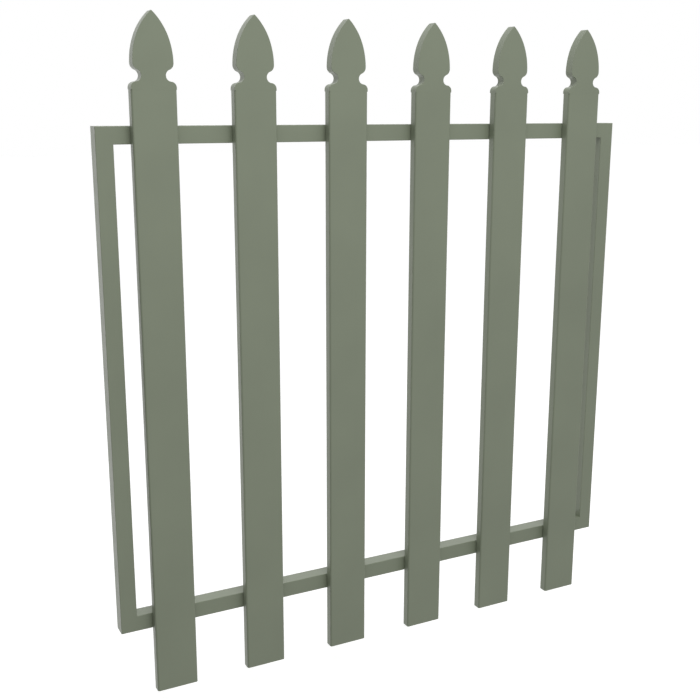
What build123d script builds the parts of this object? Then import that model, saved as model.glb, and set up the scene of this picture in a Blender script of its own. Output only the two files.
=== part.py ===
from build123d import *
import math
import os

# Garden gate leaf: six capped picket tubes screwed to the front of a square-tube frame.
# Millimetres. X runs across the leaf, Y from front to back, Z up.
# The origin is under the middle of the leaf, at the height of the picket feet.

# Frame
FRAME_WIDTH = 911.5
FRAME_HEIGHT = 759.5
FRAME_TUBE = 25.0
FRAME_WALL = 1.6
FRAME_CORNER_RADIUS = 1.0

# Pickets, spread evenly between the stiles
PICKET_COUNT = 6
PICKET_WIDTH = 65.0
PICKET_DEPTH = 16.5
PICKET_WALL = 1.4
PICKET_CORNER_RADIUS = 3.0
PICKET_DROP = 101.6
PICKET_RISE = 48.9
END_GAP = 23.25

# Cap outline, heights measured up from the top of the picket tube
CAP_NECK_WIDTH = 34.9
CAP_HEAD_WIDTH = 57.8
CAP_SHOULDER_START = 2.5
CAP_SHOULDER_RADIUS = 8.2
CAP_NOTCH_RADIUS = 8.1
CAP_CHEEK_RADIUS = 9.7
CAP_KNEE_WIDTH = 45.8
CAP_KNEE_HEIGHT = 70.0
CAP_PEAK_HEIGHT = 104.6
CAP_TIP_RADIUS = 1.2

# Cap moulding inside
CAP_WALL = 2.4
CAP_SPIGOT_LENGTH = 30.0
CAP_CORE_HEIGHT = 72.0

# Plug pushed into the foot of each picket tube
PLUG_LENGTH = 20.0
PLUG_FLOOR = 2.0
PLUG_RECESS = 0.5

# Shared by everything that pushes into a tube
INSERT_WALL = 2.0
INSERT_CLEARANCE = 0.2
RIB_WIDTH = 1.5
RIB_SPACING = 12.0

# Corner keys that join the mitred frame tubes, arms measured from the middle of the corner
KEY_ARM_LENGTH = 45.0
KEY_POCKET_DEPTH = 34.0
KEY_WALL = 3.0

# Wafer-head screws driven through the rails from behind
SCREW_RADIUS = 2.4
SCREW_HOLE_CLEARANCE = 0.1
SCREW_HEAD_RADIUS = 5.4
SCREW_HEAD_HEIGHT = 2.4
SCREW_HEAD_EDGE = 0.8
SCREW_FLAT_RADIUS = 2.8
SCREW_POINT_LENGTH = 4.5
SCREW_REACH = 4.0
SCREWS_PER_CROSSING = 2
SCREW_SPACING = 32.0
RECESS_WIDTH = 4.6
RECESS_SLOT = 1.1
RECESS_DEPTH = 1.5

# Places that follow from the sizes above
PICKET_LENGTH = PICKET_DROP + FRAME_HEIGHT + PICKET_RISE
PICKET_SPREAD = FRAME_WIDTH - 2 * (FRAME_TUBE + END_GAP) - PICKET_WIDTH
PICKET_PITCH = PICKET_SPREAD / (PICKET_COUNT - 1)
LEAF_DEPTH = PICKET_DEPTH + FRAME_TUBE + SCREW_HEAD_HEIGHT
FRONT_Y = -LEAF_DEPTH / 2
CONTACT_Y = FRONT_Y + PICKET_DEPTH
REAR_Y = CONTACT_Y + FRAME_TUBE
PICKET_Y = FRONT_Y + PICKET_DEPTH / 2
FRAME_Y = CONTACT_Y + FRAME_TUBE / 2
FRAME_MIDDLE_Z = PICKET_DROP + FRAME_HEIGHT / 2
RAIL_HEIGHTS = {
    "bottom": PICKET_DROP + FRAME_TUBE / 2,
    "top": PICKET_DROP + FRAME_HEIGHT - FRAME_TUBE / 2,
}
PICKET_XS = [PICKET_PITCH * (n - (PICKET_COUNT - 1) / 2) for n in range(PICKET_COUNT)]
SCREW_OFFSETS = [
    SCREW_SPACING * (n - (SCREWS_PER_CROSSING - 1) / 2) for n in range(SCREWS_PER_CROSSING)
]
SCREW_XS = [x + offset for x in PICKET_XS for offset in SCREW_OFFSETS]
PICKET_BORE_WIDTH = PICKET_WIDTH - 2 * PICKET_WALL
PICKET_BORE_DEPTH = PICKET_DEPTH - 2 * PICKET_WALL
PICKET_BORE_RADIUS = PICKET_CORNER_RADIUS - PICKET_WALL
INSERT_WIDTH = PICKET_BORE_WIDTH - 2 * INSERT_CLEARANCE
INSERT_DEPTH = PICKET_BORE_DEPTH - 2 * INSERT_CLEARANCE
FRAME_BORE = FRAME_TUBE - 2 * FRAME_WALL


def upright(section, length):
    """Stand a flat section up into a solid of this length, from Z = 0."""
    return extrude(section, amount=length)


def through_y(outline, depth):
    """Turn an outline drawn in X and Z into a plate of this depth, centred on Y = 0."""
    return extrude(Plane.XZ * outline, amount=depth / 2, both=True)


def cylinder_along_y(radius, start, length):
    """Round bar on the Y axis, from Y = start towards the back."""
    bar = Rot(-90, 0, 0) * Cylinder(radius, length, align=(Align.CENTER, Align.CENTER, Align.MIN))
    return Pos(0, start, 0) * bar


# Frame


def square_tube(length):
    """Square tube along X, centred on the origin."""
    outer = RectangleRounded(FRAME_TUBE, FRAME_TUBE, FRAME_CORNER_RADIUS)
    bore = Rectangle(FRAME_BORE, FRAME_BORE)
    return Rot(0, 90, 0) * Pos(0, 0, -length / 2) * upright(outer - bore, length)


def mitred_tube(length):
    """Square tube along X with both ends mitred, its long side facing down."""
    half = length / 2
    trapezoid = Polygon(
        (-half, -FRAME_TUBE / 2),
        (half, -FRAME_TUBE / 2),
        (half - FRAME_TUBE, FRAME_TUBE / 2),
        (-half + FRAME_TUBE, FRAME_TUBE / 2),
        align=None,
    )
    return square_tube(length) & through_y(trapezoid, FRAME_TUBE)


def rail(height, turn):
    """Top or bottom rail with a clearance hole through both walls for each screw."""
    tube = Pos(0, FRAME_Y, height) * Rot(0, turn, 0) * mitred_tube(FRAME_WIDTH)
    hole = cylinder_along_y(SCREW_RADIUS + SCREW_HOLE_CLEARANCE, CONTACT_Y, FRAME_TUBE)
    return tube - [Pos(x, 0, height) * hole for x in SCREW_XS]


def stile(side):
    """Upright of the frame: side is -1 for the left one and 1 for the right one."""
    place = Pos(side * (FRAME_WIDTH - FRAME_TUBE) / 2, FRAME_Y, FRAME_MIDDLE_Z)
    return place * Rot(0, -90 * side, 0) * mitred_tube(FRAME_HEIGHT)


def bar_along_x(start, end, depth, height):
    """Square-edged bar along X from start to end, centred on the X axis."""
    return Pos((start + end) / 2, 0, 0) * Box(end - start, depth, height)


def key_arm():
    """One arm of a corner key, along X from the corner, with gripping ribs and a cored end."""
    width = FRAME_BORE - 2 * INSERT_CLEARANCE
    core = width - 2 * KEY_WALL
    arm = bar_along_x(-width / 2, KEY_ARM_LENGTH, width, width)
    arm += bar_along_x(FRAME_TUBE / 2, KEY_ARM_LENGTH, FRAME_BORE, RIB_WIDTH)
    arm += bar_along_x(FRAME_TUBE / 2, KEY_ARM_LENGTH, RIB_WIDTH, FRAME_BORE)
    return arm - bar_along_x(KEY_ARM_LENGTH - KEY_POCKET_DEPTH, KEY_ARM_LENGTH, core, core)


def corner_key(side, height, up):
    """L-shaped key inside one mitre: it reaches inwards along the rail and along the stile."""
    x = side * (FRAME_WIDTH - FRAME_TUBE) / 2
    along_rail = Rot(0, 0, 90 + 90 * side) * key_arm()
    along_stile = Rot(0, 90 * up, 0) * key_arm()
    return Pos(x, FRAME_Y, height) * (along_rail + along_stile)


# Pickets


def insert_outline():
    """Outline that slides into a picket tube."""
    return RectangleRounded(INSERT_WIDTH, INSERT_DEPTH, PICKET_BORE_RADIUS)


def tube_insert(length):
    """Hollow wall that slides into a picket tube and grips it with upright ribs."""
    section = insert_outline() + Rectangle(PICKET_BORE_WIDTH, RIB_WIDTH)
    for x in (-RIB_SPACING, RIB_SPACING):
        section += Pos(x, 0) * Rectangle(RIB_WIDTH, PICKET_BORE_DEPTH)
    section -= Rectangle(INSERT_WIDTH - 2 * INSERT_WALL, INSERT_DEPTH - 2 * INSERT_WALL)
    return upright(section, length)


def picket_tube(x):
    """Hollow picket body with a tight hole in its back wall for each screw."""
    outer = RectangleRounded(PICKET_WIDTH, PICKET_DEPTH, PICKET_CORNER_RADIUS)
    bore = RectangleRounded(PICKET_BORE_WIDTH, PICKET_BORE_DEPTH, PICKET_BORE_RADIUS)
    tube = Pos(x, PICKET_Y, 0) * upright(outer - bore, PICKET_LENGTH)
    hole = cylinder_along_y(SCREW_RADIUS, CONTACT_Y - PICKET_WALL, PICKET_WALL)
    return tube - [
        Pos(x + offset, 0, height) * hole
        for offset in SCREW_OFFSETS
        for height in RAIL_HEIGHTS.values()
    ]


def centre_above(below, reach, x):
    """Centre at x of an arc that meets the arc below it smoothly; reach is both radii."""
    return Vector(x, below.Y + math.sqrt(reach**2 - (x - below.X) ** 2))


def cap_outline():
    """Right half of the cap's outline, from the tube edge over shoulder, notch and arch."""
    shoulder = Vector(PICKET_WIDTH / 2 - CAP_SHOULDER_RADIUS, CAP_SHOULDER_START)
    notch_reach = CAP_SHOULDER_RADIUS + CAP_NOTCH_RADIUS
    notch = centre_above(shoulder, notch_reach, CAP_NECK_WIDTH / 2 + CAP_NOTCH_RADIUS)
    cheek_reach = CAP_NOTCH_RADIUS + CAP_CHEEK_RADIUS
    cheek = centre_above(notch, cheek_reach, CAP_HEAD_WIDTH / 2 - CAP_CHEEK_RADIUS)
    shoulder_end = shoulder + (notch - shoulder) * (CAP_SHOULDER_RADIUS / notch_reach)
    notch_end = notch + (cheek - notch) * (CAP_NOTCH_RADIUS / cheek_reach)

    edge = Line((PICKET_WIDTH / 2, 0), (PICKET_WIDTH / 2, CAP_SHOULDER_START))
    shoulder_arc = TangentArc(edge @ 1, shoulder_end, tangent=edge % 1)
    notch_arc = TangentArc(shoulder_end, notch_end, tangent=shoulder_arc % 1)
    cheek_arc = TangentArc(notch_end, (CAP_HEAD_WIDTH / 2, cheek.Y), tangent=notch_arc % 1)
    knee = (CAP_KNEE_WIDTH / 2, CAP_KNEE_HEIGHT)
    lower_arch = TangentArc(cheek_arc @ 1, knee, tangent=cheek_arc % 1)
    upper_arch = TangentArc(knee, (0, CAP_PEAK_HEIGHT), tangent=lower_arch % 1)
    return [edge, shoulder_arc, notch_arc, cheek_arc, lower_arch, upper_arch]


def cap_plate():
    """Solid gothic plate of the cap, standing on Z = 0, with its peak rounded off."""
    half = cap_outline()
    foot = Line((0, 0), half[0] @ 0)
    centre_line = Line(half[-1] @ 1, (0, 0))
    half_face = make_face([foot, *half, centre_line])
    face = half_face + mirror(half_face, about=Plane.YZ)
    face = fillet(face.vertices().sort_by(Axis.Y)[-1], CAP_TIP_RADIUS)
    return through_y(face, PICKET_DEPTH)


def picket_cap(x):
    """Moulded cap: a cored plate on top of the tube and a hollow spigot inside it."""
    spigot = Pos(0, 0, -CAP_SPIGOT_LENGTH) * tube_insert(CAP_SPIGOT_LENGTH)
    core_width = CAP_NECK_WIDTH - 2 * CAP_WALL
    core = upright(Rectangle(core_width, INSERT_DEPTH - 2 * INSERT_WALL), CAP_CORE_HEIGHT)
    return Pos(x, PICKET_Y, PICKET_LENGTH) * (cap_plate() - core + spigot)


def foot_plug(x):
    """Cup-shaped plug that closes the bottom of a picket tube, set in by a small recess."""
    plug = tube_insert(PLUG_LENGTH) + upright(insert_outline(), PLUG_FLOOR)
    return Pos(x, PICKET_Y, PLUG_RECESS) * plug


# Screws


def screw():
    """Wafer-head screw on the Y axis: head on the back of the rail, point in the picket."""
    shank_end = CONTACT_Y - PICKET_WALL - SCREW_REACH
    profile = Polyline(
        (0, shank_end - SCREW_POINT_LENGTH),
        (SCREW_RADIUS, shank_end),
        (SCREW_RADIUS, REAR_Y),
        (SCREW_HEAD_RADIUS, REAR_Y),
        (SCREW_HEAD_RADIUS, REAR_Y + SCREW_HEAD_EDGE),
    )
    head_y = REAR_Y + SCREW_HEAD_HEIGHT
    crown = TangentArc((SCREW_FLAT_RADIUS, head_y), profile @ 1, tangent=(1, 0))
    inner = Polyline(profile @ 0, (0, head_y), crown @ 0)
    body = revolve(make_face([profile, crown, inner]), axis=Axis.Y)
    recess_y = head_y - RECESS_DEPTH / 2
    for turn in (0, 90):
        body -= Pos(0, recess_y, 0) * Rot(0, turn, 0) * Box(RECESS_WIDTH, RECESS_DEPTH, RECESS_SLOT)
    return body


def rail_screws(height):
    """All the screws of one rail, as separate solids."""
    one = screw()
    return Compound(children=[Pos(x, 0, height) * one for x in SCREW_XS])


def gate_parts():
    """Every sub-part by name."""
    parts = {
        "frame_stile_left": stile(-1),
        "frame_stile_right": stile(1),
        "frame_rail_bottom": rail(RAIL_HEIGHTS["bottom"], 0),
        "frame_rail_top": rail(RAIL_HEIGHTS["top"], 180),
    }
    for level, up in (("bottom", -1), ("top", 1)):
        for side_name, side in (("left", -1), ("right", 1)):
            name = f"corner_key_{level}_{side_name}"
            parts[name] = corner_key(side, RAIL_HEIGHTS[level], up)
        parts[f"{level}_rail_screws"] = rail_screws(RAIL_HEIGHTS[level])
    for number, x in enumerate(PICKET_XS, start=1):
        parts[f"picket_{number}"] = picket_tube(x)
        parts[f"picket_cap_{number}"] = picket_cap(x)
        parts[f"foot_plug_{number}"] = foot_plug(x)
    return parts


os.makedirs("parts", exist_ok=True)
for part_name, shape in gate_parts().items():
    export_step(shape, f"parts/{part_name}.step")
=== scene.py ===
import math

import bmesh
import bpy
from bpy.props import FloatProperty, FloatVectorProperty, IntProperty, PointerProperty
from mathutils import Matrix, Vector


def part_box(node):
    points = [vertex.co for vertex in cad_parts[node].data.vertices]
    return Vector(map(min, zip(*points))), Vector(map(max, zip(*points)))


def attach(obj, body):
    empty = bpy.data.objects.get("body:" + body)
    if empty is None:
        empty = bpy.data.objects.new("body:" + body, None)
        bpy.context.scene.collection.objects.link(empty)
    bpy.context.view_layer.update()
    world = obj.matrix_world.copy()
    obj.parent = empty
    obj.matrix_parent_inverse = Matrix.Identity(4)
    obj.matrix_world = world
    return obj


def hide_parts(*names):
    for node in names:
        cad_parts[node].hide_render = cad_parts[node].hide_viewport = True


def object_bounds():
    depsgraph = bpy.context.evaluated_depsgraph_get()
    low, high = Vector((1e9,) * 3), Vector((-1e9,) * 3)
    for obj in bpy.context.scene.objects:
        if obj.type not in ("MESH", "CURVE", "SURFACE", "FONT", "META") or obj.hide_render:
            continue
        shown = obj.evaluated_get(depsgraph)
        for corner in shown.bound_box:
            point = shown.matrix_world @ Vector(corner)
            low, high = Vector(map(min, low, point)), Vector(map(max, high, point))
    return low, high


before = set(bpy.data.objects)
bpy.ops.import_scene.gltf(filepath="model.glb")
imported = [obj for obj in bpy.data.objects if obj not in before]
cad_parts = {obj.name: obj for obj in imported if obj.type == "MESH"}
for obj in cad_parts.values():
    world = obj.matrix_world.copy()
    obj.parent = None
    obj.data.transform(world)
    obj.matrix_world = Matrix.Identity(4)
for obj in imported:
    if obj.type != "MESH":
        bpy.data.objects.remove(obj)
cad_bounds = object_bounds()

bl_info = {
    "name": "Picket Gate Leaf",
    "version": (1, 0, 0),
    "blender": (4, 5, 0),
    "location": "3D View > Sidebar > Gate",
    "description": "Builds a powder-coated picket gate leaf around its engineering model",
    "category": "Object",
}

BODY = "root"
X, Y, Z = 0, 1, 2
PICKET_NUMBERS = range(1, 1 + sum(name.startswith("picket_cap_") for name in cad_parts))
SCREW_NODES = ("bottom_rail_screws", "top_rail_screws")

# Cosines above which two directions count as one, the second for flat walls
ALIGNED = 0.99
FLAT_WALL = 0.999
# Distances below which two places count as one, the last for cuts
CLOSE = 1e-6
LOOSELY_CLOSE = 1e-5
CUT_THRESHOLD = 1e-7
# Edges count as corners above the first angle and are shaded sharp above the second
CORNER_ANGLE = math.radians(30)
SHARP_ANGLE = math.radians(40)
# Faces across each small rounding
EDGE_STEPS = 3
INSERT_CORNER_STEPS = 5
TIP_STEPS = 6
# A wall whose middle is further than this below the cap's seat is the spigot's
UNDER_SEAT = 1e-4
# The thread's radius over the radius left at the drill point
POINT_SHARPNESS = 12
# Noise values lie mostly in this range
NOISE_LOW, NOISE_HIGH = 0.3, 0.7
# Octaves of noise in each pattern
CLOUD_DETAIL, SHEEN_DETAIL, RIPPLE_DETAIL = 3, 4, 2
# Second tones of the enamel and the mouldings, as shares of the first
ENAMEL_SHADE = 0.9
MOULDING_HIGHLIGHT = 1.5
WHITE = (1, 1, 1, 1)


# Sizes and colours


def length(name, description, default):
    """A size in metres."""
    return FloatProperty(
        name=name, description=description, default=default, unit="LENGTH", precision=5
    )


def share(name, description, default):
    """A number from 0 to 1."""
    return FloatProperty(
        name=name, description=description, default=default, min=0.0, max=1.0, subtype="FACTOR"
    )


def colour(name, description, default):
    """A linear colour."""
    return FloatVectorProperty(
        name=name, description=description, default=default, min=0.0, max=1.0, subtype="COLOR"
    )


def angle(name, description, degrees):
    """An angle, given in degrees and kept in radians."""
    return FloatProperty(
        name=name, description=description, default=math.radians(degrees), subtype="ANGLE"
    )


def strength(name, description, default):
    """A brightness or power."""
    return FloatProperty(name=name, description=description, default=default, min=0.0)


def point(name, description, default):
    """A point in metres."""
    return FloatVectorProperty(
        name=name, description=description, default=default, subtype="TRANSLATION", unit="LENGTH"
    )


def count(name, description, default):
    """A whole number of faces or steps."""
    return IntProperty(name=name, description=description, default=default, min=2)


class GateTubeSizes(bpy.types.PropertyGroup):
    """Tubes"""

    frame_wall: length("Frame wall", "Wall of the square frame tube", 0.0016)
    frame_corner: length("Frame corner", "Radius of the frame tube's long edges", 0.001)
    frame_bore_corner: length("Frame bore", "Radius inside the frame tube's corners", 0.0004)
    picket_wall: length("Picket wall", "Wall of the picket tube", 0.0014)
    picket_corner: length("Picket corner", "Radius of the picket tube's long edges", 0.003)
    picket_bore_corner: length("Picket bore", "Radius inside the picket's corners", 0.0016)
    deburr: length("Deburr", "Edge break on a sawn tube end", 0.00005)
    corner_steps: count("Corner steps", "Faces round each long edge", 8)


class GateInsertSizes(bpy.types.PropertyGroup):
    """Cap spigots and foot plugs"""

    clearance: length("Clearance", "Gap between an insert and the tube round it", 0.0002)
    corner: length("Corner", "Radius of the insert's upright edges", 0.0014)
    wall: length("Wall", "Wall of the insert", 0.002)
    rib_width: length("Rib width", "Width of the gripping ribs", 0.0015)
    rib_spacing: length("Rib spacing", "Place of the ribs either side of the middle", 0.012)
    spigot_length: length("Spigot length", "How far the cap reaches into the tube", 0.03)
    plug_floor: length("Plug floor", "Thickness of the plug's closed end", 0.002)
    plug_edge: length("Plug edge", "Rounding of the plug's lower edge", 0.0004)
    dish_depth: length("Dish depth", "Depth of the dish in the plug's closed end", 0.0005)


class GateCapSizes(bpy.types.PropertyGroup):
    """Gothic caps"""

    neck_width: length("Neck width", "Width between the two notches", 0.0349)
    head_width: length("Head width", "Widest part of the spear head", 0.0578)
    shoulder_start: length("Shoulder start", "Height where the shoulder begins to round", 0.0025)
    shoulder_radius: length("Shoulder radius", "Radius of the shoulder", 0.0082)
    notch_radius: length("Notch radius", "Radius of the notch at the neck", 0.0081)
    cheek_radius: length("Cheek radius", "Radius under the spear head", 0.0097)
    knee_width: length("Knee width", "Width where the two arcs of the arch meet", 0.0458)
    knee_height: length("Knee height", "Height where the two arcs of the arch meet", 0.07)
    peak_height: length("Peak height", "Height where the two sides would meet", 0.1046)
    tip_radius: length("Tip radius", "Rounding of the peak", 0.0012)
    edge_break: length("Edge break", "Softening of the cast edges", 0.0004)
    core_width: length("Core width", "Width of the hollow inside the cap", 0.0301)
    core_height: length("Core height", "Height of the hollow inside the cap", 0.072)
    arc_step: angle("Arc step", "Most that an arc turns from one point to the next", 6.0)
    arc_chord: length("Arc chord", "Most that two points of an arc lie apart", 0.0015)


class GateScrewSizes(bpy.types.PropertyGroup):
    """Wafer-head screws"""

    shank_radius: length("Shank radius", "Outside radius of the thread", 0.0024)
    hole_clearance: length("Hole clearance", "Gap round the shank in the rail", 0.0001)
    head_height: length("Head height", "Height of the wafer head", 0.0024)
    head_edge: length("Head edge", "Straight height of the head's rim", 0.0008)
    flat_radius: length("Flat radius", "Radius of the flat on top of the head", 0.0028)
    point_length: length("Point length", "Length of the drill point", 0.0045)
    recess_width: length("Recess width", "Length of each slot of the cross", 0.0046)
    recess_slot: length("Recess slot", "Width of each slot of the cross", 0.0011)
    recess_depth: length("Recess depth", "Depth of the cross", 0.0015)
    recess_taper: share("Recess taper", "Size of the cross at its bottom", 0.5)
    turn: angle("Turn", "How far each cross is turned past the last one", 37.0)
    sides: count("Sides", "Faces round the head", 40)
    hole_sides: count("Hole sides", "Faces round a screw hole", 32)
    crown_steps: count("Crown steps", "Rings across the head's crown", 6)


class GateFinish(bpy.types.PropertyGroup):
    """Coatings and mouldings"""

    coat: colour("Coat", "Powder coat on tubes and caps", (0.213, 0.244, 0.174))
    coat_shade: colour("Coat shade", "Slightly deeper tone of the same coat", (0.197, 0.2255, 0.161))
    roughness: share("Roughness", "Roughness of the satin powder coat", 0.40)
    cloud_size: length("Cloud size", "Width of the soft clouds in a coat's tone", 0.12)
    sheen_size: length("Sheen size", "Width of the patches of uneven sheen", 0.03)
    sheen_spread: share("Sheen spread", "How much the roughness strays either way", 0.03)
    peel_size: length("Peel size", "Width of the ripples in the powder coat", 0.0012)
    peel_height: length("Peel height", "Height of the ripples in the powder coat", 0.00001)
    enamel: colour("Enamel", "Paint on the screw heads", (0.185, 0.212, 0.150))
    enamel_roughness: share("Enamel roughness", "Roughness of the screw paint", 0.32)
    plastic: colour("Plastic", "Foot plugs", (0.030, 0.032, 0.028))
    nylon: colour("Nylon", "Corner keys", (0.050, 0.050, 0.048))
    plastic_roughness: share("Plastic roughness", "Roughness of the mouldings", 0.5)
    grain_size: length("Grain size", "Width of the spark texture on the mouldings", 0.0005)
    grain_height: length("Grain height", "Height of the spark texture", 0.00002)


class GateStage(bpy.types.PropertyGroup):
    """Floor, light and camera"""

    floor_colour: colour("Floor", "Plain pale floor", (0.82, 0.82, 0.82))
    floor_roughness: share("Floor roughness", "Roughness of the floor", 0.9)
    floor_shine: share("Floor shine", "Strength of the floor's reflections", 0.1)
    floor_glow: strength("Floor glow", "Light that the lit floor adds to itself", 0.55)
    floor_drop: length("Floor drop", "Gap under the hanging leaf", 0.06)
    floor_size: length("Floor size", "Side of the square floor", 40.0)
    room_light: strength("Room light", "Brightness of the room all round", 0.08)
    left_light: strength("Left light", "Extra brightness to the left", 0.025)
    right_light: strength("Right light", "Extra brightness to the right", 0.39)
    front_light: strength("Front light", "Extra brightness in front", 0.56)
    back_light: strength("Back light", "Extra brightness behind the leaf", 1.36)
    lamp_power: strength("Lamp", "Power of the soft lamp high in front", 46.0)
    lamp_size: length("Lamp size", "Side of the square lamp", 1.6)
    lamp_place: point("Lamp place", "Where the lamp hangs", (-0.3, -1.4, 2.9))
    lamp_target: point("Lamp target", "What the lamp is aimed at", (0.0, 0.0, 0.5))
    camera_place: point("Camera place", "Where the camera stands", (-0.8053, -1.4358, 0.8845))
    camera_heading: angle("Heading", "Camera's turn to the right of straight on", 27.407)
    camera_tilt: angle("Tilt", "Camera's tilt below level", 13.194)
    camera_roll: angle("Roll", "Camera's lean", 0.092)
    lens: FloatProperty(
        name="Lens", description="Focal length in millimetres", default=52.887, min=1.0
    )


GROUPS = {
    "gate_tubes": GateTubeSizes,
    "gate_inserts": GateInsertSizes,
    "gate_cap": GateCapSizes,
    "gate_screw": GateScrewSizes,
    "gate_finish": GateFinish,
    "gate_stage": GateStage,
}


# Places from the engineering model


def box_size(node):
    """Width, depth and height of a node."""
    low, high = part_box(node)
    return high - low


def box_centre(node):
    """Middle of a node's box."""
    low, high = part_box(node)
    return (low + high) / 2


def screw_offset():
    """Distance of a screw from the middle of the picket it holds."""
    low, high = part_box(SCREW_NODES[0])
    head_radius = (high.z - low.z) / 2
    return box_centre("picket_1").x - low.x - head_radius


def screw_places(node):
    """Where each screw of a rail meets the back of the rail."""
    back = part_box("frame_rail_top")[1].y
    height = box_centre(node).z
    offset = screw_offset()
    return [
        Vector((box_centre(f"picket_{number}").x + side * offset, back, height))
        for number in PICKET_NUMBERS
        for side in (-1, 1)
    ]


# Modelling by hand


def in_object_mode():
    """Leave edit mode and drop the selection."""
    if bpy.context.mode != "OBJECT":
        bpy.ops.object.mode_set(mode="OBJECT")
    bpy.ops.object.select_all(action="DESELECT")


def make_active(piece):
    """Select one piece alone."""
    in_object_mode()
    piece.select_set(True)
    bpy.context.view_layer.objects.active = piece


def start_editing(name):
    """Name the primitive just added, settle it at the origin and go into edit mode."""
    bpy.ops.object.transform_apply(location=True, rotation=True, scale=True)
    piece = bpy.context.object
    piece.name = name
    bpy.ops.object.mode_set(mode="EDIT")
    return piece


def start_box(name, size, place=(0, 0, 0)):
    """Start a piece from a cube of this size."""
    in_object_mode()
    bpy.ops.mesh.primitive_cube_add(size=1, location=place, scale=size)
    return start_editing(name)


def pick(kind, test):
    """Select the visible vertices, edges or faces that pass a test, and nothing else."""
    bpy.ops.mesh.select_mode(type=kind)
    bpy.ops.mesh.select_all(action="DESELECT")
    mesh = bpy.context.edit_object.data
    shape = bmesh.from_edit_mesh(mesh)
    shape.normal_update()
    items = {"VERT": shape.verts, "EDGE": shape.edges, "FACE": shape.faces}[kind]
    for item in items:
        if not item.hide and test(item):
            item.select_set(True)
    shape.select_flush_mode()
    bmesh.update_edit_mesh(mesh)


def along(edge, axis):
    """True for an edge that runs along an axis."""
    run = edge.verts[1].co - edge.verts[0].co
    return abs(run[axis]) > ALIGNED * run.length


def is_corner(edge):
    """True for an edge where two faces meet at a clear angle."""
    return len(edge.link_faces) == 2 and edge.calc_face_angle() > CORNER_ANGLE


def on_plane(item, place, normal):
    """True for an edge or face that lies in a plane."""
    return all(abs((v.co - place).dot(normal)) < 2 * CLOSE for v in item.verts)


def pick_end(direction, place):
    """Select the face that looks in a direction and lies at a place."""
    def at_end(face):
        return face.normal.dot(direction) > ALIGNED and on_plane(face, place, direction)

    pick("FACE", at_end)


def round_off(radius, steps):
    """Round the selected edges."""
    bpy.ops.mesh.bevel(offset=radius, segments=steps, affect="EDGES")


def pull(x=0, y=0, z=0):
    """Extrude the selected faces."""
    bpy.ops.mesh.extrude_region_move(TRANSFORM_OT_translate={"value": (x, y, z)})


def step_in(size, new_size):
    """Extrude the selected face in its own plane to a smaller rectangle."""
    pull()
    scale = [new / old if old else 1 for new, old in zip(new_size, size)]
    bpy.ops.transform.resize(value=scale, center_override=(0, 0, 0))


def face_outwards():
    """Turn every face of a closed shell to look outwards."""
    bpy.ops.mesh.select_all(action="SELECT")
    bpy.ops.mesh.normals_make_consistent(inside=False)


def copy_to(master, place, turn=(0, 0, 0)):
    """Copy a piece, mesh and all, and settle the copy in its place."""
    make_active(master)
    bpy.ops.object.duplicate()
    copy = bpy.context.object
    copy.location = place
    copy.rotation_euler = turn
    bpy.ops.object.transform_apply(location=True, rotation=True, scale=True)
    return copy


def discard(piece):
    """Delete a master or a cutter that has done its work."""
    make_active(piece)
    bpy.ops.object.delete()


def cut_away(piece, cutter):
    """Cut one shape out of another."""
    make_active(piece)
    cut = piece.modifiers.new("Cut", "BOOLEAN")
    cut.object = cutter
    cut.solver = "EXACT"
    bpy.ops.object.modifier_apply(modifier=cut.name)
    discard(cutter)


def drill(piece, radius, places, depth):
    """Drill round holes along Y through a piece; each place is the middle of a hole."""
    in_object_mode()
    drills = []
    for place in places:
        bpy.ops.mesh.primitive_cylinder_add(
            vertices=bpy.context.scene.gate_screw.hole_sides,
            radius=radius,
            depth=depth,
            location=place,
            rotation=(math.pi / 2, 0, 0),
        )
        drills.append(bpy.context.object)
    for one in drills:
        one.select_set(True)
    bpy.ops.object.join()
    bpy.ops.object.transform_apply(location=True, rotation=True, scale=True)
    cut_away(piece, bpy.context.object)


def finish_piece(piece, name, material, node):
    """Settle a piece's shading, give it its material and seat it on the leaf."""
    make_active(piece)
    bpy.ops.object.shade_smooth_by_angle(angle=SHARP_ANGLE)
    flat = piece.modifiers.new("Flat faces stay flat", "WEIGHTED_NORMAL")
    flat.keep_sharp = True
    bpy.ops.object.modifier_apply(modifier=flat.name)
    piece.name = name
    piece.data.name = name
    piece.data.materials.append(material)
    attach(piece, BODY)
    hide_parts(node)


# Tubes


def open_skin(axis, corner, steps):
    """Round the long edges of a box and take its two ends off."""
    pick("EDGE", lambda edge: along(edge, axis))
    round_off(corner, steps)
    pick("FACE", lambda face: abs(face.normal[axis]) > ALIGNED)
    bpy.ops.mesh.delete(type="ONLY_FACE")


def hollow_bar(name, size, axis, wall, corner, bore_corner):
    """Outer and inner skin of a tube round the origin, open at both ends."""
    steps = bpy.context.scene.gate_tubes.corner_steps
    piece = start_box(name, size)
    open_skin(axis, corner, steps)
    bpy.ops.mesh.select_all(action="SELECT")
    bpy.ops.mesh.hide(unselected=False)
    bore = [extent - (0 if a == axis else 2 * wall) for a, extent in enumerate(size)]
    bpy.ops.mesh.primitive_cube_add(size=1, location=(0, 0, 0), scale=bore)
    bpy.ops.mesh.flip_normals()
    open_skin(axis, bore_corner, steps)
    bpy.ops.mesh.reveal(select=False)
    return piece


def close_ends(ends):
    """Bridge the two skins of a tube in each end plane, then deburr the rims."""
    for place, normal in ends:
        pick("EDGE", lambda edge: on_plane(edge, place, normal))
        bpy.ops.mesh.bridge_edge_loops()
    face_outwards()
    for place, normal in ends:
        pick("EDGE", lambda edge: on_plane(edge, place, normal) and is_corner(edge))
        round_off(bpy.context.scene.gate_tubes.deburr, EDGE_STEPS)


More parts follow.
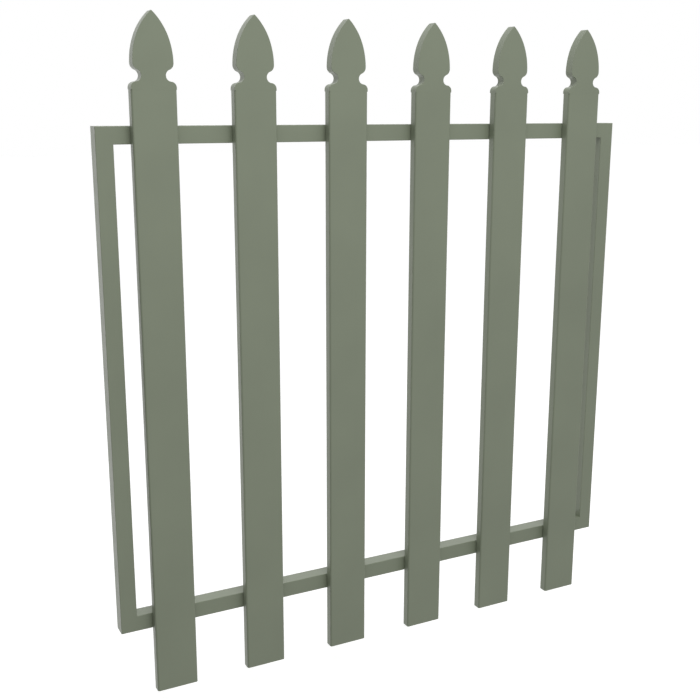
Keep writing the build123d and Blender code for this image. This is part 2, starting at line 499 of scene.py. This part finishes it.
def mitred_bar(name, size, axis, inward):
    """Frame tube round the origin, both ends cut at 45 degrees, its short side inward."""
    sizes = bpy.context.scene.gate_tubes
    uncut = size.copy()
    uncut[axis] += size[Y]
    walls = sizes.frame_wall, sizes.frame_corner, sizes.frame_bore_corner
    piece = hollow_bar(name, uncut, axis, *walls)
    ends = []
    for side in (-1, 1):
        outward = Vector((0, 0, 0))
        outward[axis] = side
        corner = outward * size[axis] / 2 - inward * size[Y] / 2
        ends.append((corner, (outward + inward).normalized()))
    for corner, normal in ends:
        bpy.ops.mesh.select_all(action="SELECT")
        bpy.ops.mesh.bisect(
            plane_co=corner, plane_no=normal, clear_outer=True, threshold=CUT_THRESHOLD
        )
    close_ends(ends)
    return piece


class GATE_OT_frame_tubes(bpy.types.Operator):
    """Build the mitred square tubes of the frame"""

    bl_idname = "gate.frame_tubes"
    bl_label = "Frame tubes"

    def execute(self, context):
        coat = powder_coat("Frame powder coat")
        stile = mitred_bar("stile master", box_size("frame_stile_left"), Z, Vector((1, 0, 0)))
        rail = mitred_bar("rail master", box_size("frame_rail_bottom"), X, Vector((0, 0, 1)))
        screw = context.scene.gate_screw
        places = screw_places(SCREW_NODES[0])
        holes = [Vector((place.x, 0, 0)) for place in places]
        depth = 2 * box_size("frame_rail_bottom").y
        drill(rail, screw.shank_radius + screw.hole_clearance, holes, depth)
        for name, master, turn in (
            ("stile_left", stile, (0, 0, 0)),
            ("stile_right", stile, (0, 0, math.pi)),
            ("rail_bottom", rail, (0, 0, 0)),
            ("rail_top", rail, (0, math.pi, 0)),
        ):
            node = "frame_" + name
            tube = copy_to(master, box_centre(node), turn)
            finish_piece(tube, name + "_tube", coat, node)
        discard(stile)
        discard(rail)
        return {"FINISHED"}


class GATE_OT_picket_tubes(bpy.types.Operator):
    """Build the hollow picket tubes"""

    bl_idname = "gate.picket_tubes"
    bl_label = "Picket tubes"

    def execute(self, context):
        sizes = context.scene.gate_tubes
        coat = powder_coat("Picket powder coat")
        size = box_size("picket_1")
        walls = sizes.picket_wall, sizes.picket_corner, sizes.picket_bore_corner
        master = hollow_bar("picket master", size, Z, *walls)
        up = Vector((0, 0, 1))
        close_ends([(up * size.z / 2, up), (-up * size.z / 2, up)])
        holes = [
            Vector((side * screw_offset(), size.y / 2, box_centre(node).z - size.z / 2))
            for node in SCREW_NODES
            for side in (-1, 1)
        ]
        depth = 4 * sizes.picket_wall
        drill(master, context.scene.gate_screw.shank_radius, holes, depth)
        for number in PICKET_NUMBERS:
            node = f"picket_{number}"
            tube = copy_to(master, box_centre(node))
            finish_piece(tube, f"picket_tube_{number}", coat, node)
        discard(master)
        return {"FINISHED"}


class GATE_OT_corner_keys(bpy.types.Operator):
    """Give the corner keys inside the frame their moulded nylon"""

    bl_idname = "gate.corner_keys"
    bl_label = "Corner keys"

    def execute(self, context):
        look = context.scene.gate_finish
        nylon = moulded_plastic("Corner key nylon", look.nylon)
        for name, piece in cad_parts.items():
            if name.startswith("corner_key_"):
                piece.material_slots[0].material = nylon
        return {"FINISHED"}


# Caps and plugs


def insert_size():
    """Width and depth of whatever slides into a picket tube."""
    play = bpy.context.scene.gate_tubes.picket_wall + bpy.context.scene.gate_inserts.clearance
    picket = box_size("picket_1")
    return Vector((picket.x - 2 * play, picket.y - 2 * play, 0))


def add_grip_ribs(top):
    """Raise gripping ribs on an insert's outer walls, the ones with their middles below top."""
    sizes = bpy.context.scene.gate_inserts
    half = insert_size() / 2
    edge = sizes.rib_width / 2

    def is_wall(face):
        flat = max(abs(face.normal.x), abs(face.normal.y)) > FLAT_WALL
        middle = face.calc_center_median()
        at_side = abs(middle.x) > half.x - LOOSELY_CLOSE
        at_front_or_back = abs(middle.y) > half.y - LOOSELY_CLOSE
        return flat and (at_side or at_front_or_back) and middle.z < top

    def is_rib(face):
        middle = face.calc_center_median()
        from_rib = abs(middle.x) - sizes.rib_spacing
        if abs(face.normal.x) > ALIGNED:
            from_rib = middle.y
        return is_wall(face) and abs(from_rib) < edge

    cuts = [(X, side * sizes.rib_spacing + e) for side in (-1, 1) for e in (-edge, edge)]
    cuts += [(Y, -edge), (Y, edge)]
    for axis, place in cuts:
        origin, normal = Vector((0, 0, 0)), Vector((0, 0, 0))
        origin[axis], normal[axis] = place, 1
        pick("FACE", is_wall)
        bpy.ops.mesh.bisect(plane_co=origin, plane_no=normal, threshold=CUT_THRESHOLD)
    pick("FACE", is_rib)
    bpy.ops.mesh.extrude_region_shrink_fatten(
        TRANSFORM_OT_shrink_fatten={"value": -sizes.clearance}
    )


def centre_above(below, reach, x):
    """Centre at x of an arc that meets the arc below it smoothly; reach is both radii."""
    return Vector((x, below.y + math.sqrt(reach**2 - (x - below.x) ** 2)))


def arc_centre(start, heading, end):
    """Centre of the arc that leaves start in a heading and arrives at end."""
    side = Vector((-heading.y, heading.x))
    chord = end - start
    return start + side * (chord.length_squared / (2 * chord.dot(side)))


def cap_arcs(half_width):
    """Centre, start and end of each arc of the cap's right side, from shoulder to peak."""
    sizes = bpy.context.scene.gate_cap
    shoulder_start = Vector((half_width, sizes.shoulder_start))
    shoulder = shoulder_start - Vector((sizes.shoulder_radius, 0))
    reach = sizes.shoulder_radius + sizes.notch_radius
    notch = centre_above(shoulder, reach, sizes.neck_width / 2 + sizes.notch_radius)
    shoulder_end = shoulder.lerp(notch, sizes.shoulder_radius / reach)
    reach = sizes.notch_radius + sizes.cheek_radius
    cheek = centre_above(notch, reach, sizes.head_width / 2 - sizes.cheek_radius)
    notch_end = notch.lerp(cheek, sizes.notch_radius / reach)
    cheek_end = Vector((sizes.head_width / 2, cheek.y))
    knee = Vector((sizes.knee_width / 2, sizes.knee_height))
    lower = arc_centre(cheek_end, Vector((0, 1)), knee)
    outward = (knee - lower).normalized()
    peak = Vector((0, sizes.peak_height))
    upper = arc_centre(knee, Vector((-outward.y, outward.x)), peak)
    return (
        (shoulder, shoulder_start, shoulder_end),
        (notch, shoulder_end, notch_end),
        (cheek, notch_end, cheek_end),
        (lower, cheek_end, knee),
        (upper, knee, peak),
    )


def draw_arc(centre, start, end):
    """Spin the last point of the outline from start to end round a centre."""
    sizes = bpy.context.scene.gate_cap
    turn = -(start - centre).angle_signed(end - centre)
    run = abs(turn) * (start - centre).length
    steps = max(math.ceil(abs(turn) / sizes.arc_step), math.ceil(run / sizes.arc_chord))
    place = Vector((start.x, start.y))
    pick("VERT", lambda v: (v.co.xz - place).length < LOOSELY_CLOSE)
    bpy.ops.mesh.spin(steps=steps, angle=turn, center=(centre.x, 0, centre.y), axis=(0, 1, 0))


def cap_plate(width, depth):
    """Spear-headed plate standing on Z = 0, still sharp-edged."""
    sizes = bpy.context.scene.gate_cap
    rise = sizes.shoulder_start
    in_object_mode()
    bpy.ops.mesh.primitive_plane_add(size=1, rotation=(math.pi / 2, 0, 0))
    piece = start_editing("cap master")
    bpy.ops.transform.resize(value=(width / 2, 1, rise), center_override=(0, 0, 0))
    bpy.ops.transform.translate(value=(width / 4, 0, rise / 2))
    arcs = cap_arcs(width / 2)
    for arc in arcs:
        draw_arc(*arc)

    # Close the half outline up the middle, fill it, and reflect it
    pick("VERT", lambda v: abs(v.co.x) < CLOSE and v.co.z > rise / 2)
    bpy.ops.mesh.edge_face_add()
    pick("EDGE", lambda edge: all(v.co.z > rise - CLOSE for v in edge.verts))
    bpy.ops.mesh.edge_face_add()
    bpy.ops.mesh.select_all(action="SELECT")
    bpy.ops.mesh.symmetrize(direction="POSITIVE_X", threshold=CLOSE)
    face_outwards()
    pick("EDGE", lambda edge: all(abs(v.co.x) < CLOSE for v in edge.verts))
    bpy.ops.mesh.dissolve_edges(use_verts=False)
    pick("EDGE", lambda edge: all(abs(v.co.z - rise) < CLOSE for v in edge.verts))
    bpy.ops.mesh.dissolve_edges(use_verts=False)
    pick("VERT", lambda v: abs(v.co.x) < CLOSE and v.co.z < 2 * rise)
    bpy.ops.mesh.dissolve_verts()

    # Thickness, centred front to back, and the rounded peak
    bpy.ops.mesh.select_all(action="SELECT")
    bpy.ops.transform.translate(value=(0, -depth / 2, 0))
    pull(y=depth)
    face_outwards()
    centre, _, peak = arcs[-1]
    slope = peak - centre
    pick("EDGE", lambda edge: along(edge, Y) and edge.verts[0].co.z > peak.y - LOOSELY_CLOSE)
    round_off(sizes.tip_radius * abs(slope.x / slope.y), TIP_STEPS)
    return piece


def add_spigot(width, depth):
    """Draw a hollow, ribbed spigot out of the underside of the plate."""
    cap = bpy.context.scene.gate_cap
    sizes = bpy.context.scene.gate_inserts
    foot = Vector((width, depth, 0))
    outer = insert_size()
    bore = outer - Vector((2 * sizes.wall, 2 * sizes.wall, 0))
    core = Vector((cap.core_width, bore.y, 0))
    pick_end(Vector((0, 0, -1)), Vector((0, 0, 0)))
    step_in(foot, outer)
    pull(z=-sizes.spigot_length)
    pick("EDGE", lambda edge: along(edge, Z) and all(v.co.z < CLOSE for v in edge.verts))
    round_off(sizes.corner, INSERT_CORNER_STEPS)
    pick_end(Vector((0, 0, -1)), Vector((0, 0, -sizes.spigot_length)))
    step_in(outer, bore)
    pull(z=sizes.spigot_length)
    step_in(bore, core)
    pull(z=cap.core_height)
    add_grip_ribs(-UNDER_SEAT)


def soften_cap(width, depth):
    """Soften the cast outline, and deburr the seat that meets the tube."""
    sizes = bpy.context.scene.gate_cap
    half = depth / 2

    def is_outline(edge):
        points = [v.co for v in edge.verts]
        on_face = all(abs(abs(p.y) - half) < CLOSE for p in points)
        return on_face and max(p.z for p in points) > LOOSELY_CLOSE

    def is_seat(edge):
        points = [v.co for v in edge.verts]
        level = all(abs(p.z) < CLOSE for p in points)
        at_side = all(abs(p.x) > width / 2 - CLOSE for p in points)
        at_front_or_back = all(abs(p.y) > half - CLOSE for p in points)
        return level and (at_side or at_front_or_back)

    pick("EDGE", lambda edge: is_outline(edge) and is_corner(edge))
    round_off(sizes.edge_break, EDGE_STEPS)
    pick("EDGE", is_seat)
    round_off(bpy.context.scene.gate_tubes.deburr, EDGE_STEPS)


class GATE_OT_picket_caps(bpy.types.Operator):
    """Build the gothic caps on the pickets"""

    bl_idname = "gate.picket_caps"
    bl_label = "Picket caps"

    def execute(self, context):
        coat = powder_coat("Cap powder coat")
        size = box_size("picket_cap_1")
        master = cap_plate(size.x, size.y)
        add_spigot(size.x, size.y)
        soften_cap(size.x, size.y)
        for number in PICKET_NUMBERS:
            node = f"picket_cap_{number}"
            place = box_centre(node)
            place.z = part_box(f"picket_{number}")[1].z
            cap = copy_to(master, place)
            finish_piece(cap, f"gothic_cap_{number}", coat, node)
        discard(master)
        return {"FINISHED"}


class GATE_OT_foot_plugs(bpy.types.Operator):
    """Build the plugs in the picket feet"""

    bl_idname = "gate.foot_plugs"
    bl_label = "Foot plugs"

    def execute(self, context):
        look = context.scene.gate_finish
        sizes = context.scene.gate_inserts
        plastic = moulded_plastic("Foot plug plastic", look.plastic)
        outer = insert_size()
        height = box_size("foot_plug_1").z
        bore = outer - Vector((2 * sizes.wall, 2 * sizes.wall, 0))
        up = Vector((0, 0, 1))
        top, bottom = up * height / 2, -up * height / 2
        master = start_box("plug master", outer + up * height)
        pick("EDGE", lambda edge: along(edge, Z))
        round_off(sizes.corner, INSERT_CORNER_STEPS)
        pick("EDGE", lambda edge: on_plane(edge, bottom, up))
        round_off(sizes.plug_edge, EDGE_STEPS)
        pick_end(up, top)
        step_in(outer, bore)
        pull(z=sizes.plug_floor - height)
        pick_end(-up, bottom)
        step_in(outer, bore)
        pull(z=sizes.dish_depth)
        add_grip_ribs(height)
        for number in PICKET_NUMBERS:
            node = f"foot_plug_{number}"
            plug = copy_to(master, box_centre(node))
            finish_piece(plug, f"foot_cup_{number}", plastic, node)
        discard(master)
        return {"FINISHED"}


# Screws


def turned_screw():
    """Screw on the Y axis, turned ring by ring from the flat of its head to its point."""
    sizes = bpy.context.scene.gate_screw
    low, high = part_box(SCREW_NODES[0])
    head_radius = (high.z - low.z) / 2
    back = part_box("frame_rail_top")[1].y
    tip = low.y - back
    drop = sizes.head_height - sizes.head_edge
    run = head_radius - sizes.flat_radius
    crown = (run**2 + drop**2) / (2 * drop)
    sweep = math.asin(run / crown)
    turns = [sweep * n / sizes.crown_steps for n in range(1, sizes.crown_steps + 1)]
    rings = [
        (sizes.flat_radius + crown * math.sin(t), sizes.head_height - crown * (1 - math.cos(t)))
        for t in turns
    ]
    rings += [
        (head_radius, 0),
        (sizes.shank_radius, 0),
        (sizes.shank_radius, tip + sizes.point_length),
        (sizes.shank_radius / POINT_SHARPNESS, tip),
    ]
    in_object_mode()
    bpy.ops.mesh.primitive_circle_add(
        vertices=sizes.sides,
        radius=sizes.flat_radius,
        fill_type="NGON",
        location=(0, sizes.head_height, 0),
        rotation=(-math.pi / 2, 0, 0),
    )
    piece = start_editing("screw master")
    radius, place = sizes.flat_radius, sizes.head_height
    for new_radius, new_place in rings:
        pull(y=new_place - place)
        scale = new_radius / radius
        bpy.ops.transform.resize(value=(scale, 1, scale), center_override=(0, 0, 0))
        radius, place = new_radius, new_place
    face_outwards()
    return piece


def cross_cutter():
    """Tapered cross that sinks the driver recess into a screw's head."""
    sizes = bpy.context.scene.gate_screw
    half, arm = sizes.recess_slot / 2, (sizes.recess_width - sizes.recess_slot) / 2
    above = sizes.recess_depth / 2
    height = sizes.recess_depth + above
    middle = Vector((0, sizes.head_height + above - height / 2, 0))
    piece = start_box("cross cutter", (2 * half, height, 2 * half), middle)
    for x, z in ((1, 0), (-1, 0), (0, 1), (0, -1)):
        outward = Vector((x, 0, z))
        pick_end(outward, outward * half)
        pull(*(outward * arm))
    bottom = sizes.head_height - sizes.recess_depth
    pick("VERT", lambda v: v.co.y < bottom + CLOSE)
    taper = sizes.recess_taper
    bpy.ops.transform.resize(value=(taper, 1, taper), center_override=(0, bottom, 0))
    return piece


class GATE_OT_rail_screws(bpy.types.Operator):
    """Build the wafer-head screws in the back of both rails"""

    bl_idname = "gate.rail_screws"
    bl_label = "Rail screws"

    def execute(self, context):
        enamel = screw_enamel()
        master = turned_screw()
        cutter = cross_cutter()
        cut_away(master, cutter)
        step = context.scene.gate_screw.turn
        for node in SCREW_NODES:
            rail = node.replace("_rail_screws", "")
            for number, place in enumerate(screw_places(node), start=1):
                screw = copy_to(master, place, (0, step * number, 0))
                name = f"{rail}_rail_screw_{number}"
                finish_piece(screw, name, enamel, node)
        discard(master)
        return {"FINISHED"}


# Materials


def speckle(tree, place, width, detail):
    """Noise whose blotches are about this wide."""
    noise = tree.nodes.new("ShaderNodeTexNoise")
    noise.inputs["Scale"].default_value = 1 / width
    noise.inputs["Detail"].default_value = detail
    tree.links.new(place, noise.inputs["Vector"])
    return noise.outputs["Fac"]


def to_range(tree, value, low, high):
    """Stretch the middle of a noise to a range."""
    stretch = tree.nodes.new("ShaderNodeMapRange")
    stretch.inputs["From Min"].default_value = NOISE_LOW
    stretch.inputs["From Max"].default_value = NOISE_HIGH
    stretch.inputs["To Min"].default_value = low
    stretch.inputs["To Max"].default_value = high
    tree.links.new(value, stretch.inputs["Value"])
    return stretch.outputs["Result"]


def mottled(tree, factor, deep, light):
    """Colour that drifts between two tones."""
    mix = tree.nodes.new("ShaderNodeMix")
    mix.data_type = "RGBA"
    sockets = [socket for socket in mix.inputs if socket.type == "RGBA"]
    sockets[0].default_value = (*deep, 1)
    sockets[1].default_value = (*light, 1)
    tree.links.new(factor, mix.inputs["Factor"])
    return next(socket for socket in mix.outputs if socket.type == "RGBA")


def coating(name, light, deep, roughness, ripple_size, ripple_height):
    """A coat with a soft cloudy tone, an uneven sheen and fine ripples."""
    look = bpy.context.scene.gate_finish
    material = bpy.data.materials.new(name)
    material.use_nodes = True
    tree = material.node_tree
    shader = tree.nodes["Principled BSDF"]
    place = tree.nodes.new("ShaderNodeTexCoord").outputs["Object"]

    cloud = to_range(tree, speckle(tree, place, look.cloud_size, CLOUD_DETAIL), 0.0, 1.0)
    tree.links.new(mottled(tree, cloud, deep, light), shader.inputs["Base Color"])
    sheen = speckle(tree, place, look.sheen_size, SHEEN_DETAIL)
    spread = look.sheen_spread
    uneven = to_range(tree, sheen, roughness - spread, roughness + spread)
    tree.links.new(uneven, shader.inputs["Roughness"])
    ripple = tree.nodes.new("ShaderNodeBump")
    ripple.inputs["Distance"].default_value = ripple_height
    tree.links.new(speckle(tree, place, ripple_size, RIPPLE_DETAIL), ripple.inputs["Height"])
    tree.links.new(ripple.outputs["Normal"], shader.inputs["Normal"])
    return material


def powder_coat(name):
    """Satin powder coat of the tubes and caps, with its orange-peel ripples."""
    look = bpy.context.scene.gate_finish
    return coating(
        name, look.coat, look.coat_shade, look.roughness, look.peel_size, look.peel_height
    )


def screw_enamel():
    """Thin enamel on the screw heads, smoother than the powder coat."""
    look = bpy.context.scene.gate_finish
    deeper = [ENAMEL_SHADE * channel for channel in look.enamel]
    size, height = look.peel_size / 2, look.peel_height / 2
    return coating("Screw enamel", look.enamel, deeper, look.enamel_roughness, size, height)


def moulded_plastic(name, tone):
    """Dark moulded plastic with the grain of a spark-eroded mould."""
    look = bpy.context.scene.gate_finish
    paler = [MOULDING_HIGHLIGHT * channel for channel in tone]
    size, height = look.grain_size, look.grain_height
    return coating(name, paler, tone, look.plastic_roughness, size, height)


# Stage


def light_room(stage):
    """Soft light from all round, each side of the room with its own brightness."""
    world = bpy.data.worlds.new("Studio")
    bpy.context.scene.world = world
    world.use_nodes = True
    tree = world.node_tree
    view = tree.nodes.new("ShaderNodeTexCoord").outputs["Generated"]
    split = tree.nodes.new("ShaderNodeSeparateXYZ")
    tree.links.new(view, split.inputs["Vector"])
    total = tree.nodes.new("ShaderNodeValue").outputs["Value"]
    total.default_value = stage.room_light
    for axis, side, brightness in (
        ("X", -1, stage.left_light),
        ("X", 1, stage.right_light),
        ("Y", -1, stage.front_light),
        ("Y", 1, stage.back_light),
    ):
        facing = tree.nodes.new("ShaderNodeMath")
        facing.operation = "MULTIPLY"
        facing.use_clamp = True
        facing.inputs[1].default_value = side
        tree.links.new(split.outputs[axis], facing.inputs[0])
        add = tree.nodes.new("ShaderNodeMath")
        add.operation = "MULTIPLY_ADD"
        add.inputs[1].default_value = brightness
        tree.links.new(facing.outputs["Value"], add.inputs[0])
        tree.links.new(total, add.inputs[2])
        total = add.outputs["Value"]

    # The room lights the leaf, and the camera sees a plain white backdrop
    glow = tree.nodes["Background"]
    glow.inputs["Color"].default_value = WHITE
    tree.links.new(total, glow.inputs["Strength"])
    backdrop = tree.nodes.new("ShaderNodeBackground")
    backdrop.inputs["Color"].default_value = WHITE
    choose = tree.nodes.new("ShaderNodeMixShader")
    seen = tree.nodes.new("ShaderNodeLightPath").outputs["Is Camera Ray"]
    tree.links.new(seen, choose.inputs["Fac"])
    tree.links.new(glow.outputs["Background"], choose.inputs[1])
    tree.links.new(backdrop.outputs["Background"], choose.inputs[2])
    tree.links.new(choose.outputs["Shader"], tree.nodes["World Output"].inputs["Surface"])


def show_from_above(tree, shader):
    """Make the floor clear from below, so that the leaf's underside can be seen."""
    side = tree.nodes.new("ShaderNodeNewGeometry")
    clear = tree.nodes.new("ShaderNodeBsdfTransparent")
    choose = tree.nodes.new("ShaderNodeMixShader")
    tree.links.new(side.outputs["Backfacing"], choose.inputs["Fac"])
    tree.links.new(shader.outputs["BSDF"], choose.inputs[1])
    tree.links.new(clear.outputs["BSDF"], choose.inputs[2])
    tree.links.new(choose.outputs["Shader"], tree.nodes["Material Output"].inputs["Surface"])


def lay_floor(stage):
    """Plain pale floor under the hanging leaf."""
    in_object_mode()
    low = cad_bounds[0].z - stage.floor_drop
    bpy.ops.mesh.primitive_plane_add(size=stage.floor_size, location=(0, 0, low))
    floor = start_editing("studio_floor")
    bpy.ops.mesh.subdivide(number_cuts=1)
    in_object_mode()
    material = bpy.data.materials.new("Pale floor")
    material.use_nodes = True
    shader = material.node_tree.nodes["Principled BSDF"]
    shader.inputs["Base Color"].default_value = (*stage.floor_colour, 1)
    shader.inputs["Roughness"].default_value = stage.floor_roughness
    shader.inputs["Specular IOR Level"].default_value = stage.floor_shine
    shader.inputs["Emission Color"].default_value = WHITE
    shader.inputs["Emission Strength"].default_value = stage.floor_glow
    show_from_above(material.node_tree, shader)
    floor.data.materials.append(material)
    floor.visible_diffuse = False
    floor.visible_glossy = False
    floor.visible_shadow = False


def hang_lamp(stage):
    """Large soft lamp high in front of the leaf."""
    in_object_mode()
    run = Vector(stage.lamp_target) - Vector(stage.lamp_place)
    aim = run.to_track_quat("-Z", "Y").to_euler()
    bpy.ops.object.light_add(type="AREA", location=stage.lamp_place, rotation=aim)
    lamp = bpy.context.object
    lamp.name = "soft_lamp"
    lamp.data.shape = "SQUARE"
    lamp.data.size = stage.lamp_size
    lamp.data.energy = stage.lamp_power


def place_camera(stage):
    """Stand the camera in front of the leaf, to its left and a little above its middle."""
    in_object_mode()
    turn = Matrix.Rotation(-stage.camera_heading, 3, "Z")
    turn @= Matrix.Rotation(math.pi / 2 - stage.camera_tilt, 3, "X")
    turn @= Matrix.Rotation(stage.camera_roll, 3, "Z")
    bpy.ops.object.camera_add(location=stage.camera_place, rotation=turn.to_euler())
    camera = bpy.context.object
    camera.data.lens = stage.lens
    bpy.context.scene.camera = camera


class GATE_OT_stage(bpy.types.Operator):
    """Lay the floor, light the room and place the camera"""

    bl_idname = "gate.stage"
    bl_label = "Stage"

    def execute(self, context):
        stage = context.scene.gate_stage
        light_room(stage)
        lay_floor(stage)
        hang_lamp(stage)
        place_camera(stage)
        context.scene.view_settings.view_transform = "Standard"
        return {"FINISHED"}


class GATE_PT_leaf(bpy.types.Panel):
    """Buttons and sizes of the gate leaf"""

    bl_idname = "GATE_PT_leaf"
    bl_label = "Gate leaf"
    bl_space_type = "VIEW_3D"
    bl_region_type = "UI"
    bl_category = "Gate"

    def draw(self, context):
        for piece in OPERATORS:
            self.layout.operator(piece.bl_idname)
        for name, group in GROUPS.items():
            box = self.layout.box()
            box.label(text=group.__doc__)
            for size in group.__annotations__:
                box.prop(getattr(context.scene, name), size)


OPERATORS = (
    GATE_OT_frame_tubes,
    GATE_OT_corner_keys,
    GATE_OT_picket_tubes,
    GATE_OT_picket_caps,
    GATE_OT_foot_plugs,
    GATE_OT_rail_screws,
    GATE_OT_stage,
)


def register():
    """Add the operators, the panel and the groups of sizes."""
    for name, group in GROUPS.items():
        bpy.utils.register_class(group)
        setattr(bpy.types.Scene, name, PointerProperty(type=group))
    for item in (*OPERATORS, GATE_PT_leaf):
        bpy.utils.register_class(item)


def unregister():
    """Take everything out again that register adds."""
    for item in (GATE_PT_leaf, *OPERATORS):
        bpy.utils.unregister_class(item)
    for name, group in GROUPS.items():
        delattr(bpy.types.Scene, name)
        bpy.utils.unregister_class(group)


def main():
    """Build every piece and the stage."""
    register()
    bpy.ops.gate.frame_tubes()
    bpy.ops.gate.corner_keys()
    bpy.ops.gate.picket_tubes()
    bpy.ops.gate.picket_caps()
    bpy.ops.gate.foot_plugs()
    bpy.ops.gate.rail_screws()
    bpy.ops.gate.stage()


if __name__ == "__main__":
    main()
